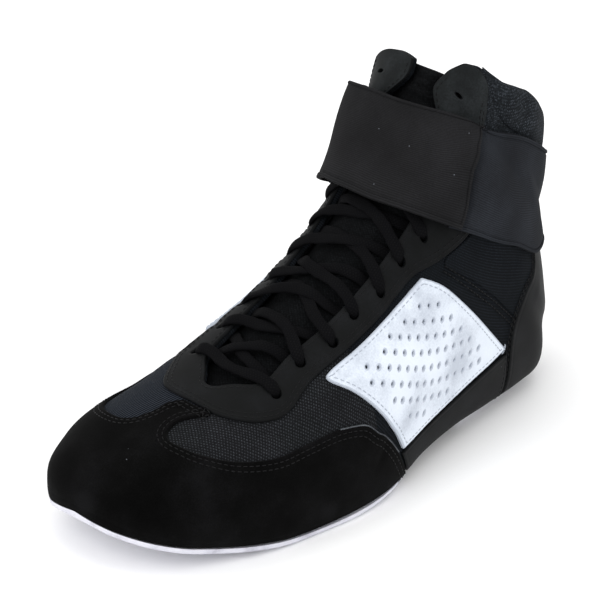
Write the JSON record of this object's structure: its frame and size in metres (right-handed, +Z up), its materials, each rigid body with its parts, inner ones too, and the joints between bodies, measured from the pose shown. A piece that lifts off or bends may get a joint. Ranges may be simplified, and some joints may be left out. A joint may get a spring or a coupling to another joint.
{
  "type": "wrestling shoe",
  "caption": "High lace-up wrestling shoe with a mesh upper, suede forefoot, ankle strap over the laces and thin split rubber sole.",
  "frame": {"origin": "centre of the shoe's bounding box, on the plane it stands on", "axes": "+X toward the outer (lateral) side of this left shoe, +Y from toe to heel, +Z up; the toe points to -Y"},
  "size_m": [0.1052, 0.275, 0.1691],
  "materials": {
    "knit mesh": "matte",
    "black suede": "matte",
    "smooth synthetic": "satin",
    "white synthetic": "satin",
    "padded lining": "matte",
    "elastic webbing": "matte",
    "round lace": "matte",
    "insole foam": "matte",
    "white rubber": "satin",
    "black sole board": "matte"
  },
  "bodies": {
    "root": {"ankle_strap": "elastic webbing", "collar_pad": "padded lining", "eyestay": "smooth synthetic", "front_sole": "white rubber", "heel_counter": "smooth synthetic", "heel_sole": "white rubber", "heel_strap": "elastic webbing", "insole": "insole foam", "lace": "round lace", "saddle_lateral": "white synthetic", "saddle_medial": "white synthetic", "sole_board": "black sole board", "toe_cap": "black suede", "tongue": "padded lining", "upper": "knit mesh", "waist_band_lateral": "smooth synthetic", "waist_band_medial": "smooth synthetic"}
  },
  "joints": []
}
